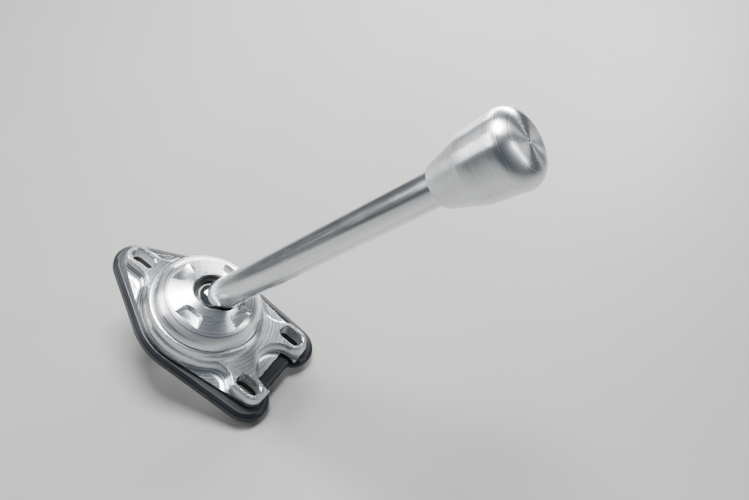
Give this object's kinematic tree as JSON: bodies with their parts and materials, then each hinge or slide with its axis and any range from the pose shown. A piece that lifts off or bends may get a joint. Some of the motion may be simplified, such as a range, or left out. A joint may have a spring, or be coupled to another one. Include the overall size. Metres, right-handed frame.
{
  "type": "gear shift lever",
  "caption": "Ball-pivot gear shift lever: round lever with a turned knob in a bolt-down housing on a base plate, with a lower arm that works the selector.",
  "frame": {"origin": "on the upright axis through the lever's pivot, at the underside of the base plate", "axes": "+Z out of the base plate towards the knob, +X from the single ear towards the notch between the paired ears, +Y across"},
  "size_m": [0.1722, 0.0948, 0.2752],
  "materials": {
    "aluminium": "machined and polished",
    "black_plate": "satin black anodised",
    "acetal": "turned black acetal",
    "steel": "ground and polished",
    "bronze": "turned bearing bronze",
    "rubber": "moulded",
    "nylon": "turned nylon"
  },
  "bodies": {
    "base": {"base_plate": "black_plate", "housing": "aluminium", "cap": "aluminium", "upper_ball_seat": "acetal", "lower_ball_seat": "acetal", "spring_washer": "steel", "cap_o_ring": "rubber", "base_screw_1": "steel", "base_screw_2": "steel", "base_screw_3": "steel"},
    "crosshead": {"cross_pin": "steel", "pin_slipper_1": "bronze", "pin_slipper_2": "bronze"},
    "lever": {"pivot_ball": "steel", "shaft_stud": "steel", "shaft": "aluminium", "knob_stud": "steel", "knob": "aluminium", "lower_arm": "steel", "arm_lock_nut": "steel", "tip_bush": "nylon"}
  },
  "joints": [
    {"name": "gate_swing", "type": "hinge", "parent": "base", "child": "crosshead", "pos_m": [0, 0, 0.0204], "axis": [1, 0, 0], "range_deg": [0, 5]},
    {"name": "shift_swing", "type": "hinge", "parent": "crosshead", "child": "lever", "pos_m": [0, 0, 0.0204], "axis": [0, 0.9877, -0.1564], "range_deg": [-27, 0]}
  ]
}
